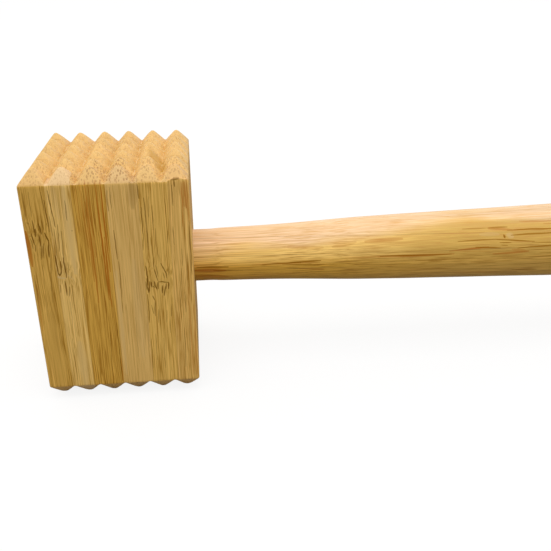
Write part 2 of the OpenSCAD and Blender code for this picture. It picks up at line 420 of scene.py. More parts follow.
class Tree:
    """A few short words for building a shader node tree."""

    def __init__(self, node_tree):
        self.node_tree = node_tree

    def put(self, socket, value):
        if isinstance(value, Value):
            self.node_tree.links.new(value.socket, socket)
        else:
            socket.default_value = value

    def node(self, kind, inputs={}, **props):
        """inputs: what to put in each input, by name or number."""
        node = self.node_tree.nodes.new(kind)
        for key, value in props.items():
            setattr(node, key, value)
        for key, value in inputs.items():
            self.put(node.inputs[key], value)
        return node

    def out(self, node, key=0):
        return Value(self, node.outputs[key])

    def make(self, kind, inputs={}, output=0, **props):
        return self.out(self.node(kind, inputs, **props), output)

    def math(self, operation, a, b=0.0, clamp=False):
        return self.make("ShaderNodeMath", {0: a, 1: b}, operation=operation, use_clamp=clamp)

    def clamp(self, value): return self.math("ADD", value, 0.0, clamp=True)

    def ramp(self, value, start, stop, to=(0.0, 1.0), smooth=True):
        """Maps start..stop onto the two values of to."""
        return self.make("ShaderNodeMapRange", dict(enumerate((value, start, stop, *to))),
                         interpolation_type="SMOOTHSTEP" if smooth else "LINEAR", clamp=True)

    def bell(self, value, spread):
        return self.math("EXPONENT", value * value * (-1 / spread))

    def xyz(self, vector):
        node = self.node("ShaderNodeSeparateXYZ", {0: vector})
        return [self.out(node, k) for k in range(3)]

    def vec(self, x, y, z):
        return self.make("ShaderNodeCombineXYZ", {0: x, 1: y, 2: z})

    def vmath(self, operation, a, b):
        second = "Scale" if operation == "SCALE" else 1
        output = "Value" if operation in ("DOT_PRODUCT", "DISTANCE") else 0
        return self.make("ShaderNodeVectorMath", {0: a, second: b}, output, operation=operation)

    def noise(self, vector, scale=1.0, detail=2.0, rough=0.5, color=False):
        return self.make("ShaderNodeTexNoise", {"Vector": vector, "Scale": scale,
                         "Detail": detail, "Roughness": rough}, int(color))

    def cells(self, vector, scale):
        """Distance to the nearest cell centre, and the cell's random colour."""
        node = self.node("ShaderNodeTexVoronoi", voronoi_dimensions="2D", feature="F1",
                         inputs={"Vector": vector, "Scale": scale, "Randomness": 0.9})
        return self.out(node, "Distance"), self.out(node, "Color")

    def mix(self, factor, a, b, mode="MIX"):
        return self.make("ShaderNodeMix", {0: factor, 6: a, 7: b}, 2,
                         data_type="RGBA", blend_type=mode)

    def mix_shader(self, factor, a, b):
        return self.make("ShaderNodeMixShader", {0: factor, 1: a, 2: b})


def clear_tree(owner):
    """The emptied node tree of a material or world."""
    owner.use_nodes = True
    owner.node_tree.nodes.clear()
    return Tree(owner.node_tree)


# ---------------------------------------------------------------- bamboo, as a solid procedural wood

# linear colours
END_DARK = (0.36, 0.155, 0.022, 1)       # bundle dots on end grain
RESIN = (0.36, 0.145, 0.020, 1)
COMB_DARK = (0.20, 0.085, 0.006, 1)      # comb marks at a cane joint
RIB_PALE = (0.74, 0.46, 0.14, 1)         # rib of a cane joint
PLACED_PALE = (0.68, 0.475, 0.205, 1)
PLACED_RED = (0.45, 0.142, 0.006, 1)
GLUE_DARK = (0.20, 0.090, 0.018, 1)
# painted shade for the bottoms of the grooves
GROOVE_SHADE = (0.42, 0.20, 0.04, 1)
RUBBED = (0.80, 0.52, 0.20, 1)
STAIN = (0.54, 0.285, 0.032, 1)

GROUP_INPUTS = (
    ("P", "Vector", None),
    ("Seed", "Float", 0.0),
    ("Grad", "Float", 0.5),       # 0 inner side of the cane, 1 outer side
    ("End", "Float", 0.0),        # 1 on end grain
    ("Glue", "Float", 0.0),
    ("NodeZ", "Float", 999.0),    # where a cane joint crosses the strip
    ("Red", "Float", 0.2),        # amount of reddish streaks
    ("Streak", "Float", 1.0),     # strength of the fibre streaks
    ("Dots", "Float", 0.4),       # strength of the bundle dots on end grain
    ("Mark", "Float", 0.0),       # placed dark streaks
    ("MarkRed", "Float", 0.0),    # placed reddish streaks
    ("MarkPale", "Float", 0.0),   # placed pale ribs
    ("Calm", "Float", 0.0),       # 1 where the fibres hardly show
    ("Comb", "Float", 1.0),       # strength of the free comb marks at a cane joint
    ("MarkTone", "Color", (0.15, 0.062, 0.002, 1)),
    ("Drift", "Float", 1.0),      # strength of the slow changes of tone
    ("Edge", "Float", 0.0),       # 1 on worn edges and tips
    ("Hollow", "Float", 0.0),     # 1 at the bottom of a groove
    ("Light", "Color", (0.6, 0.36, 0.1, 1)),
    ("Dark", "Color", (0.4, 0.2, 0.05, 1)),
    ("EndLight", "Color", (0.7, 0.4, 0.1, 1)))
GROUP_OUTPUTS = (("Color", "Color"), ("Roughness", "Float"), ("Height", "Float"))


def bamboo_group():
    """P is in millimetres with the fibres along Z. Gives colour, roughness and height."""
    group = bpy.data.node_groups.new("bamboo", "ShaderNodeTree")
    for name, kind, default in GROUP_INPUTS:
        socket = group.interface.new_socket(name, in_out="INPUT", socket_type="NodeSocket" + kind)
        if default is not None:
            socket.default_value = default
    for name, kind in GROUP_OUTPUTS:
        group.interface.new_socket(name, in_out="OUTPUT", socket_type="NodeSocket" + kind)
    tree = Tree(group)
    ramp, mix = tree.ramp, tree.mix
    given = {s.name: Value(tree, s) for s in group.nodes.new("NodeGroupInput").outputs}
    group_out = group.nodes.new("NodeGroupOutput")
    end, grad, seed = given["End"], given["Grad"], given["Seed"]
    shift = tree.vec(seed * 17.31, seed * -9.77, seed * 5.43)
    point = tree.vmath("ADD", given["P"], shift)
    strip_z = tree.xyz(given["P"])[2]
    x, y, z = tree.xyz(point)
    side = 1.0 - end

    def grain(at, across, along, detail=2.0, rough=0.5, shift=None, color=False):
        """Noise at (x, y), with one frequency across the fibres and a lower one along them."""
        at_x, at_y = at
        depth = z * along
        if shift is not None:
            depth = depth + shift
        return tree.noise(tree.vec(at_x * across, at_y * across, depth), 1.0, detail, rough, color)

    # fibres wander a little, and swirl round a cane joint
    straight = x, y
    wander = tree.xyz(grain(straight, 0.10, 0.022, color=True))
    joint_gap = strip_z - given["NodeZ"]
    near_joint = tree.bell(joint_gap - 4.0, 60.0)
    swirl = tree.xyz(grain(straight, 0.34, 0.13, detail=1.0, color=True))
    fibre = [v + (wander[k] - 0.5) * 1.7 + (swirl[k] - 0.5) * near_joint * 2.0
             for k, v in enumerate(straight)]
    fibre_x, fibre_y = fibre

    # fibre bundles: dots across the grain, closer together on the cane's outer side
    big_gap, cell_color = tree.cells(tree.vec(fibre_x, fibre_y * 0.8, 0.0), 1.02)
    small_gap, _ = tree.cells(tree.vec(fibre_x + 31.7, fibre_y * 0.85, 0.0), 1.85)
    big = ramp(big_gap - tree.xyz(cell_color)[0] * 0.10, 0.13, 0.30, to=(1.0, 0.0))
    small = ramp(small_gap, 0.14, 0.34, to=(1.0, 0.0)) * ramp(grad, 0.25, 0.9)
    bundles = tree.math("MAXIMUM", big * ramp(grad, -0.4, 0.6, to=(0.55, 1.0)), small)

    # along the grain: broken streaks, and hair lines that split and close again like lenses
    breaks = grain(straight, 0.8, 0.045)
    broken = ramp(breaks, 0.34, 0.62)
    between = ramp(breaks, 0.66, 0.40)
    fine = grain(fibre, 4.6, 0.075, detail=3.0, rough=0.62)
    coarse = grain(fibre, 2.75, 0.040, detail=1.0)
    line = ramp(grain(fibre, 1.75, 0.022, detail=3.0, rough=0.6), 0.54, 0.72)
    broad = grain(fibre, 0.23, 0.012)

    def lens(pattern, start, stop):
        return ramp(tree.math("ABSOLUTE", pattern - 0.5), start, stop, to=(1.0, 0.0))
    wide_lens = lens(grain(fibre, 1.25, 0.020, detail=1.0, rough=0.45), 0.006, 0.050)
    small_lens = lens(grain(fibre, 2.2, 0.030, detail=1.0, rough=0.45, shift=40.0), 0.004, 0.060)

    # how dark the sides and the end grain are; below 0 the sides turn paler
    streaks = (bundles * broken * 0.14 + line * 0.14) + (
        (fine - 0.5) * 1.35 + wide_lens * broken * 0.62)
    streaks = streaks + (small_lens * between * 0.55 + (coarse - 0.48) * 2.9)
    side_dark = given["Streak"] * (1.0 - given["Calm"] * 0.8) * streaks
    speck = grain(fibre, 2.3, 0.2, detail=3.0, rough=0.65)
    end_dark = bundles * given["Dots"] * 0.85 + ((fine - 0.5) * 0.45 + (speck - 0.49) * 1.6)
    pale = tree.clamp(side_dark * -1.0)
    color = mix(tree.clamp(side_dark), given["Light"], given["Dark"])
    lift = 1.0 + pale * 0.34
    color = mix(1.0, color, tree.vec(lift, lift, 1.0 + pale * 0.55), "MULTIPLY")
    color = mix(end, color, mix(tree.clamp(end_dark), given["EndLight"], END_DARK))

    # slow changes of tone down the cane, weaker on end grain
    tone = ramp(broad, 0.25, 0.75, to=(0.87, 1.12), smooth=False)
    tone = (tone - 1.0) * given["Drift"] + 1.0
    tone = tone * side + ((tone - 1.0) * 0.45 + 1.0) * end
    color = mix(1.0, color, tree.vec(tone, tone, tone), "MULTIPLY")

    # reddish resin streaks
    resin = grain(fibre, 0.95, 0.010, detail=2.5, rough=0.55)
    red = (ramp(resin + given["Red"] * 0.14, 0.66, 0.78)
           * tree.math("ADD", given["Red"], 0.2, clamp=True))
    color = mix(red * (0.70 - end * 0.45), color, RESIN)

    # the cane joint: a pale wavy rib with short dark comb marks over and under it
    wave = tree.noise(tree.vec(x * 0.55, y * 0.55, 0.0), detail=1.0)
    wavy_gap = joint_gap + (wave - 0.5) * 3.4
    rib = tree.bell(wavy_gap, 0.45)
    comb_noise = grain(fibre, 1.7, 0.26, rough=0.6)
    band = tree.bell(wavy_gap - 2.2, 5.0) + tree.bell(wavy_gap + 2.2, 3.0) * 0.7
    comb = ramp(comb_noise, 0.47, 0.57) * tree.clamp(band) * given["Comb"]
    color = mix(comb * side * 0.45, color, COMB_DARK)
    color = mix(rib * side * 0.40 * given["Comb"], color, RIB_PALE)

    # placed marks
    ragged = ramp(fine * 0.5 + breaks * 0.5, 0.30, 0.52, to=(0.70, 1.0))
    color = mix(given["MarkPale"] * side, color, PLACED_PALE)
    color = mix(given["MarkRed"] * ragged * 0.90, color, PLACED_RED)
    color = mix(given["Mark"] * ragged * 0.95, color, given["MarkTone"])

    # glue line, darker in some places than in others
    glue = given["Glue"] * ramp(grain(straight, 0.4, 0.06), 0.3, 0.7, to=(0.15, 0.90))
    color = mix(glue * (0.42 - end * 0.22), color, GLUE_DARK)

    # painted shade darkens the bottoms of the grooves, edges and tips are rubbed paler
    color = mix(given["Hollow"] * 0.12, color, GROOVE_SHADE)
    rub = tree.noise(point, scale=0.7, detail=3.0)
    edge = given["Edge"] * ramp(rub, 0.30, 0.62, to=(0.25, 1.0))
    color = mix(edge * 0.30, color, RUBBED)

    rough = (0.43 + (fine - 0.5) * 0.30) + (end * 0.08 + bundles * -0.05)
    raised = (fine - 0.5) * 0.60 + bundles * (0.20 - end * 0.9)
    sunken = glue * 1.0 + (comb * 0.8 + given["Mark"] * 0.5)
    tree.put(group_out.inputs["Color"], color)
    tree.put(group_out.inputs["Roughness"], rough + edge * 0.06)
    tree.put(group_out.inputs["Height"], raised - sunken)
    return group


BAMBOO = bamboo_group()


def stroke_mask(tree, x, z, strokes, gate, axis):
    """Greatest of a set of soft strokes (x0, z0, x1, z1, half width, strength), times a gate."""
    if not strokes:
        return 0.0
    point = tree.vec(x, 0.0, z)
    # the strokes wobble slowly along the fibres and faster across them
    rate_x, rate_z, size = ((0.40, 0.22, (0.7, 0.0, 0.9)) if axis == "Z"
                            else (0.045, 0.40, (3.0, 0.0, 0.9)))
    wobble = tree.noise(tree.vec(x * rate_x, 0.0, z * rate_z), color=True)
    wobble = tree.vmath("MULTIPLY", tree.vmath("SUBTRACT", wobble, (0.5, 0.5, 0.5)), size)
    point = tree.vmath("ADD", point, wobble)
    best = None
    for x0, z0, x1, z1, half_width, strength in strokes:
        run = (x1 - x0, 0.0, z1 - z0)
        square = max(run[0] ** 2 + run[2] ** 2, 1e-6)
        offset = tree.vmath("SUBTRACT", point, (x0, 0.0, z0))
        along = tree.vmath("DOT_PRODUCT", offset, tuple(v / square for v in run))
        along = tree.math("MINIMUM", tree.math("MAXIMUM", along, 0.0), 1.0)
        distance = tree.vmath("DISTANCE", offset, tree.vmath("SCALE", run, along))
        # a stroke thins out towards both ends
        from_middle = along * 2.0 - 1.0
        thickness = 1.0 - from_middle * from_middle * 0.55
        core = half_width * (0.42 if half_width < 1.5 else 0.1)
        mask = tree.ramp(distance / thickness, core, half_width * 1.12, to=(strength, 0.0))
        best = mask if best is None else tree.math("MAXIMUM", best, mask)
    return best * gate


def glue_distance(tree, coords, box, outer, lean):
    """Distance to the nearest glued side, or None if there is none."""
    x, y, z = coords
    if lean != (0.0, 0.0):
        part = tree.ramp(x, box[0], box[1], to=lean, smooth=False)
        x = x - part * tree.ramp(z, -VALLEY_Z, VALLEY_Z, to=(-1.0, 1.0), smooth=False)
    nearest = None
    for k, coord in enumerate((x, x, y, y, z, z)):
        if not outer[k]:
            gap = coord - box[k] if k % 2 == 0 else box[k] - coord
            nearest = gap if nearest is None else tree.math("MINIMUM", nearest, gap)
    return nearest


def handle_tints_and_sheen(tree, x, y, z, brightness):
    """Handle colours by height: peach on top, partly the blank's own colour and partly painted
    sheen, golden along the middle, browner and darker towards the bottom.
    """
    patches = tree.noise(tree.vec(x * 0.018, y * 0.12, z * 0.22), detail=3.0)
    wobble = patches - 0.5
    # every colour is (near the neck, towards the butt)
    along = tree.ramp(x + wobble * 60.0, 108.0, 178.0)
    low = tree.mix(along, (0.700, 0.390, 0.050, 1), (0.715, 0.425, 0.086, 1))
    middle = tree.mix(along, (0.890, 0.580, 0.165, 1), (0.640, 0.395, 0.078, 1))
    # the peach on top is partly painted sheen
    peach = tree.mix(along, (0.835, 0.555, 0.305, 1), (0.760, 0.520, 0.295, 1))
    peach_z = (tree.ramp(along, 0.0, 1.0, to=(5.6, 11.4), smooth=False)
               - tree.ramp(x, 84.0, 62.0, to=(0.0, 2.6)))
    level = z + wobble * 9.0
    body = tree.mix(tree.ramp(level, -2.5, 4.5), low, middle)
    body = tree.mix(tree.ramp(level - peach_z, 0.0, 4.2), body, peach)
    # dark fibres lighter towards the top, partly painted sheen, and darker towards the bottom
    dark = tree.mix(tree.ramp(level, 0.0, 9.0), (0.360, 0.155, 0.010, 1), (0.620, 0.310, 0.070, 1))
    gray = (brightness, brightness, brightness, 1)
    return tree.mix(1.0, body, gray, "MULTIPLY"), tree.mix(1.0, dark, gray, "MULTIPLY")


def add_stain(tree, color, point, z, end):
    """A brown stain on the +X flank of the fifth row of teeth."""
    off_x, off_y, _ = tree.xyz(tree.vmath("SUBTRACT", point, (48.0, -9.0, 45.0)))
    oval_x = (off_x + off_y * 0.22) / 3.6
    oval_y = off_y / 14.0
    square = oval_x * oval_x + oval_y * oval_y
    ragged = square + (tree.noise(point, scale=0.35, detail=3.0) - 0.5)
    mask = tree.ramp(ragged, 0.25, 0.95, to=(1.0, 0.0)) * end * tree.ramp(z, 40.0, 41.0)
    return tree.mix(mask * 0.80, color, STAIN)


def bamboo_material(name, axis, box, outer, seed, tint, end_tint, red, streak, node_z=None,
                    dots=0.4, comb=1.0, drift=1.0, flip=False, marks=(), red_marks=(),
                    pale_marks=(), calm=(), lean=(0.0, 0.0)):
    """axis: the fibre direction, Z in the head, X in the handle.
    box: the strip's (x0, x1, y0, y1, z0, z1) in mm.
    outer: for each of those six sides, True where it is the object's own surface and has no glue.
    tint: a head strip's (light, dark) fibre colours, or a handle stave's brightness."""
    material = bpy.data.materials.new(name)
    tree = clear_tree(material)
    ramp = tree.ramp
    point = tree.vmath("MULTIPLY", tree.make("ShaderNodeTexCoord", output="Object"),
                       (1000.0, 1000.0, 1000.0))
    x, y, z = tree.xyz(point)
    geometry = tree.node("ShaderNodeNewGeometry")
    normal_x, _, normal_z = tree.xyz(tree.out(geometry, "True Normal"))
    pointiness = tree.out(geometry, "Pointiness")
    in_head = axis == "Z"
    if in_head:
        grain_point = point
        height = tree.math("ABSOLUTE", z)
        end = ramp(tree.math("ABSOLUTE", normal_z), 0.30, 0.62)
        # the bottoms of the grooves on end grain, where painted shade goes
        hollow = (ramp(height, VALLEY_Z + 0.1, VALLEY_Z + 2.4, to=(1.0, 0.0))
                  * ramp(height, VALLEY_Z - 0.7, VALLEY_Z - 0.3) * end)
        edge = ramp(pointiness, 0.52, 0.60)
        front = ramp(y, -HEAD_DEPTH / 2 + 0.6, -HEAD_DEPTH / 2 + 1.4, to=(1.0, 0.0))
        grad_coord, grad_range = y, box[2:4]
        light, dark = ((*shade, 1) for shade in tint)
    else:
        grain_point = tree.vec(y * 0.95, z * 0.95, x * 0.36)
        end = ramp(tree.math("ABSOLUTE", normal_x), 0.55, 0.9)
        hollow = 0.0
        edge = ramp(pointiness, 0.54, 0.62) * ramp(x, BUTT_X - 5, BUTT_X + 5)
        front = ramp(y, -3.0, 0.0, to=(1.0, 0.0))
        grad_coord, grad_range = z, box[4:6]
        light, dark = handle_tints_and_sheen(tree, x, y, z, tint)
    gap = glue_distance(tree, (x, y, z), box, outer, lean)
    placed = stroke_mask(tree, x, z, marks, front, axis)
    inputs = {
        "P": grain_point, "End": end, "Hollow": hollow, "Edge": edge,
        "Glue": 0.0 if gap is None else ramp(gap, 0.04, 0.20, to=(1.0, 0.0)),
        "Grad": ramp(grad_coord, *grad_range, to=(1.0, 0.0) if flip else (0.0, 1.0), smooth=False),
        "Mark": placed,
        "MarkRed": stroke_mask(tree, x, z, red_marks, front, axis),
        "MarkPale": stroke_mask(tree, x, z, pale_marks, front, axis),
        "Calm": stroke_mask(tree, x, z, calm, front, axis),
        "Comb": comb, "Drift": drift, "Seed": seed, "Red": red, "Streak": streak, "Dots": dots,
        "NodeZ": 9999.0 if node_z is None else node_z,
        "Light": light, "Dark": dark, "EndLight": (*end_tint, 1)}
    if not in_head:
        inputs["MarkTone"] = (0.32, 0.125, 0.004, 1)
    bamboo = tree.node("ShaderNodeGroup", inputs, node_tree=BAMBOO)
    color = tree.out(bamboo, "Color")
    if in_head:
        color = add_stain(tree, color, point, z, end)
    bump = tree.make("ShaderNodeBump", {"Strength": 0.35, "Distance": 0.00016,
                                        "Height": tree.out(bamboo, "Height")})
    gloss = ramp(end, 0.0, 1.0, to=(0.16, 0.60), smooth=False) if in_head else 0.34
    # placed dark marks are duller; with no marks, placed is a plain 0.0
    dull = tree.math("MULTIPLY", placed, 0.85)
    shader = tree.make("ShaderNodeBsdfPrincipled", {
        "Base Color": color, "Roughness": tree.out(bamboo, "Roughness"), "Normal": bump,
        "IOR": 1.48, "Specular IOR Level": gloss * (1.0 - dull)})
    tree.node("ShaderNodeOutputMaterial", {"Surface": shader})
    return material


# ---------------------------------------------------------------- tints and placed marks

# (light fibre, dark fibre), linear
GOLD = ((0.770, 0.475, 0.132), (0.390, 0.175, 0.016))
PALE = ((0.825, 0.535, 0.160), (0.430, 0.215, 0.026))
BROWN = ((0.670, 0.378, 0.062), (0.350, 0.150, 0.009))
TAN = ((0.750, 0.473, 0.146), (0.450, 0.230, 0.034))
HONEY = ((0.772, 0.477, 0.117), (0.380, 0.175, 0.012))
OLIVE = ((0.700, 0.415, 0.088), (0.340, 0.158, 0.009))
BY_SLOT = {"bamboo_gold": GOLD, "bamboo_pale": PALE, "bamboo_toasted": BROWN,
           "bamboo_honey": HONEY, "bamboo_straw": TAN}
END = (0.755, 0.468, 0.142)

# the front ply, strip by strip;
# strokes are (x0, z0, x1, z1, half width, strength) in mm on the front face
FRONT = {
    1: dict(
        tint=OLIVE, end_tint=(0.76, 0.462, 0.146), node_z=19.0, red=0.05, streak=0.85, drift=0.25,
        dots=0.40, comb=0.35, marks=(
        (3.6, 29.5, 4.0, 24.0, 0.30, 0.85), (5.6, 28.2, 6.2, 24.0, 0.32, 0.9),
        (6.9, 29.4, 7.2, 25.6, 0.26, 0.6), (8.8, 37.0, 8.9, 25.0, 0.28, 0.85),
        (7.3, 24.6, 8.2, 21.2, 0.36, 0.95), (2.6, 24.4, 3.1, 20.0, 0.34, 0.9),
        (5.3, 23.6, 5.2, 19.4, 0.32, 0.9), (8.2, 21.6, 7.6, 15.0, 0.34, 0.95),
        (5.7, 19.6, 4.7, 14.0, 0.26, 0.8), (6.3, 20.4, 5.6, 14.6, 0.26, 0.7),
        (3.5, 20.0, 3.1, 17.4, 0.26, 0.75), (4.3, 26.2, 3.9, 23.2, 0.34, 0.85),
        (2.0, 22.6, 2.4, 18.6, 0.24, 0.7), (8.7, 20.0, 6.6, 1.0, 0.22, 0.55),
        (7.6, 12.0, 6.4, -4.0, 0.20, 0.4), (3.8, 40.0, 3.6, 31.0, 0.24, 0.5),
        (8.1, 40.0, 8.3, 33.0, 0.24, 0.65), (1.7, 28.6, 2.3, 28.1, 0.50, 0.35),
        (4.1, 0.0, 3.6, -12.0, 0.20, 0.4), (1.3, 8.0, 1.0, -6.0, 0.22, 0.45),
        (1.8, 40.0, 1.6, 30.0, 0.22, 0.5), (4.8, 12.0, 4.2, 2.0, 0.20, 0.4),
        (4.6, -9.0, 5.0, -41.0, 4.4, 0.14)),
        red_marks=((0.7, 25.5, 1.2, 11.5, 0.85, 1.0), (1.4, 4.0, 1.0, -16.0, 0.40, 0.5)),
        calm=((4.6, -9.0, 5.0, -40.0, 3.8, 0.8), (4.6, 43.0, 4.6, 31.0, 4.0, 0.55))),
    2: dict(
        tint=PALE, end_tint=(0.790, 0.530, 0.245), node_z=6.0, red=0.05, streak=0.85, dots=0.22,
        comb=0.25, drift=0.3, marks=(
        (10.3, 40.5, 10.9, 31.0, 0.26, 0.8), (10.9, 33.0, 11.3, 26.5, 0.28, 0.75),
        (15.9, 36.5, 15.7, 29.0, 0.24, 0.7), (10.9, 26.0, 10.4, 15.0, 0.24, 0.6),
        (12.2, 27.5, 11.6, 17.0, 0.26, 0.65), (13.3, 25.0, 12.6, 12.0, 0.26, 0.7),
        (9.7, 31.0, 10.0, 23.0, 0.24, 0.5), (9.9, 15.5, 9.9, 8.4, 0.32, 0.95),
        (11.5, 13.0, 11.3, 8.8, 0.32, 0.95), (9.9, 8.2, 10.5, 7.3, 0.34, 0.95),
        (10.5, 7.3, 11.4, 8.9, 0.34, 0.95), (12.5, 14.5, 12.8, 6.3, 0.34, 0.95),
        (14.0, 12.6, 13.9, 8.4, 0.22, 0.5), (14.9, 8.4, 14.5, 6.2, 0.22, 0.45),
        (12.0, 5.0, 12.1, -1.2, 0.32, 0.85), (13.2, 2.6, 12.9, -1.6, 0.26, 0.65),
        (10.1, 3.4, 9.8, 0.2, 0.30, 0.45), (12.9, -4.0, 12.4, -16.0, 0.20, 0.4),
        (14.4, 3.0, 14.0, -9.0, 0.20, 0.4), (16.8, 25.0, 17.4, 24.9, 0.22, 0.5),
        (11.6, -20.0, 11.4, -40.0, 0.20, 0.35)),
        pale_marks=((9.3, 7.0, 11.4, 6.1, 0.50, 0.8), (11.2, 6.2, 12.3, 6.0, 0.45, 0.7),
        (13.2, 7.4, 15.4, 5.4, 0.45, 0.35), (15.9, 42.0, 16.2, 8.0, 2.0, 0.45),
        (14.2, -22.0, 14.6, -42.0, 2.6, 0.40), (12.2, 42.0, 13.0, 30.0, 1.6, 0.25)),
        calm=((16.0, 42.0, 16.3, 7.0, 2.0, 0.9), (14.6, -20.0, 15.0, -42.0, 2.6, 0.7))),
    3: dict(
        tint=BROWN, end_tint=(0.745, 0.455, 0.140), red=0.15, streak=0.95, dots=0.85, drift=0.3,
        marks=((29.2, -14.0, 29.0, -41.0, 0.26, 0.7), (26.2, -18.0, 25.6, -36.0, 0.22, 0.5),
        (22.0, 40.0, 22.6, 26.0, 0.20, 0.4)),
        red_marks=((27.1, 43.5, 27.5, -4.0, 0.36, 1.0), (28.8, 43.5, 29.0, 8.0, 0.32, 1.0),
        (28.2, 22.0, 28.1, -7.0, 0.34, 1.0), (23.5, 43.5, 23.4, -5.0, 0.45, 0.75),
        (22.7, 36.0, 22.8, 4.0, 0.28, 0.7), (21.6, 43.5, 22.2, 18.0, 0.36, 0.45),
        (24.6, 43.0, 24.3, 14.0, 0.32, 0.5), (29.4, -30.0, 29.2, -41.0, 0.40, 0.5),
        (20.0, 43.0, 20.2, 24.0, 0.40, 0.30))),
    4: dict(
        tint=TAN, end_tint=(0.720, 0.458, 0.172), red=0.00, streak=0.55, dots=1.0, drift=0.3,
        marks=((39.6, 42.5, 39.5, 33.0, 2.40, 0.30), (31.9, 41.0, 31.9, 33.0, 0.24, 0.5),
        (31.9, 24.5, 32.1, 13.0, 0.26, 0.75), (32.5, 12.0, 32.2, -4.0, 0.24, 0.65),
        (32.1, -4.0, 32.0, -10.0, 0.22, 0.45), (36.6, -12.0, 36.3, -30.0, 0.18, 0.35),
        (40.9, -12.0, 40.8, -26.0, 0.20, 0.4), (30.9, 40.0, 30.6, 32.0, 0.26, 0.55),
        (33.6, -6.0, 33.2, -24.0, 0.18, 0.3)),
        pale_marks=((38.0, 12.0, 38.4, -30.0, 2.4, 0.25), (31.2, 8.0, 31.0, -38.0, 0.8, 0.35))),
    5: dict(
        tint=HONEY, end_tint=(0.775, 0.480, 0.156), node_z=0.5, red=0.10, streak=0.85, dots=0.6,
        comb=0.20, drift=0.3, marks=(
        (42.3, 9.4, 42.35, 5.0, 0.34, 0.8), (42.6, 5.4, 42.2, 1.0, 0.36, 0.95),
        (42.2, 1.2, 42.6, -1.6, 0.36, 0.95), (41.8, 3.0, 41.9, -0.6, 0.28, 0.8),
        (43.2, 3.0, 42.9, -1.2, 0.28, 0.8), (43.7, 2.9, 43.9, 0.6, 0.30, 0.95),
        (44.9, 3.0, 45.3, 1.0, 0.30, 0.95), (45.0, 1.3, 45.8, -0.4, 0.32, 0.95),
        (44.3, 0.9, 44.9, 0.3, 0.26, 0.8), (46.4, 2.6, 46.3, -0.2, 0.30, 0.95),
        (46.5, 2.7, 50.2, 2.3, 0.27, 0.95), (50.2, 2.3, 50.2, -0.5, 0.32, 0.95),
        (47.8, 0.9, 47.6, -2.3, 0.30, 0.95), (48.9, 0.6, 48.3, -3.3, 0.28, 0.9),
        (49.4, 2.0, 49.1, -0.5, 0.24, 0.75), (45.2, 13.0, 45.3, 8.0, 0.24, 0.7),
        (45.3, 8.2, 46.4, 3.2, 0.28, 0.85), (44.9, 21.0, 45.3, 12.4, 0.20, 0.45),
        (46.0, 9.6, 46.6, 5.0, 0.24, 0.65), (48.0, 10.6, 49.6, 6.2, 0.28, 0.85),
        (48.4, 6.6, 48.9, 4.2, 0.22, 0.6), (49.6, 7.2, 49.8, 4.2, 0.26, 0.75),
        (50.8, 9.2, 50.6, 5.4, 0.22, 0.6), (46.7, 18.0, 47.6, 11.0, 0.18, 0.4),
        (43.6, 36.5, 43.9, 25.0, 0.26, 0.75), (43.9, 25.5, 43.7, 16.0, 0.28, 0.8),
        (42.4, 33.0, 42.3, 22.0, 0.28, 0.8), (42.3, 22.4, 41.9, 16.0, 0.24, 0.65),
        (41.8, 41.6, 41.9, 36.4, 0.32, 0.85), (46.4, 33.5, 46.1, 24.0, 0.24, 0.7),
        (45.3, 37.0, 44.9, 29.0, 0.20, 0.55), (47.0, 24.5, 46.6, 17.6, 0.22, 0.6),
        (51.3, 23.5, 51.0, 18.6, 0.22, 0.5), (51.1, 36.0, 51.2, 29.0, 0.20, 0.4),
        (42.1, -2.4, 41.9, -15.0, 0.28, 0.75), (43.9, -3.2, 44.6, -5.2, 0.28, 0.8),
        (44.6, -5.0, 44.3, -12.0, 0.26, 0.75), (43.2, -7.0, 43.8, -11.0, 0.22, 0.6),
        (45.7, -9.0, 45.3, -15.0, 0.22, 0.55), (48.9, -9.6, 48.4, -15.0, 0.22, 0.55),
        (50.9, -7.0, 50.5, -12.4, 0.24, 0.6), (49.8, -14.0, 49.5, -20.0, 0.20, 0.5),
        (43.8, -20.0, 43.5, -32.0, 0.20, 0.5), (46.9, -22.0, 46.6, -36.0, 0.20, 0.45),
        (41.9, -22.0, 41.8, -36.0, 0.24, 0.5)),
        calm=((48.6, 41.0, 48.9, 13.0, 2.8, 0.65), (47.0, 8.0, 47.0, -8.0, 5.0, 0.35))),
    6: dict(
        tint=GOLD, end_tint=(0.762, 0.455, 0.146), red=0.10, streak=0.85, dots=0.6, drift=0.3,
        marks=((54.0, 43.0, 56.6, 43.2, 0.60, 0.75), (54.8, 42.5, 54.9, 40.4, 0.36, 0.7),
        (53.9, 41.0, 53.9, 33.0, 0.24, 0.7), (53.4, 25.0, 53.4, 17.6, 0.22, 0.6),
        (55.4, 8.0, 54.9, 0.0, 0.22, 0.55), (54.9, 0.4, 54.3, -9.0, 0.22, 0.5),
        (56.3, -2.0, 56.1, -11.0, 0.22, 0.55), (56.1, 16.0, 55.9, 9.0, 0.20, 0.45),
        (57.9, 14.0, 57.6, 3.0, 0.20, 0.4), (59.3, 27.0, 59.3, 5.0, 0.30, 0.6),
        (55.2, -18.0, 54.8, -36.0, 0.22, 0.5), (57.2, -14.0, 57.0, -30.0, 0.20, 0.4)),
        red_marks=((57.2, 42.0, 57.4, 31.0, 0.34, 0.8), (58.5, 42.0, 58.6, 32.0, 0.42, 0.9),
        (57.3, 32.0, 57.0, 25.0, 0.30, 0.55), (59.2, 43.0, 59.3, 26.0, 0.45, 0.7),
        (58.0, 42.0, 58.0, 33.0, 1.10, 0.40), (57.6, 0.0, 57.8, -40.0, 0.40, 0.45),
        (59.3, -8.0, 59.2, -40.0, 0.45, 0.5)),
        calm=((55.0, 32.0, 55.2, 12.0, 2.0, 0.55),)),
}

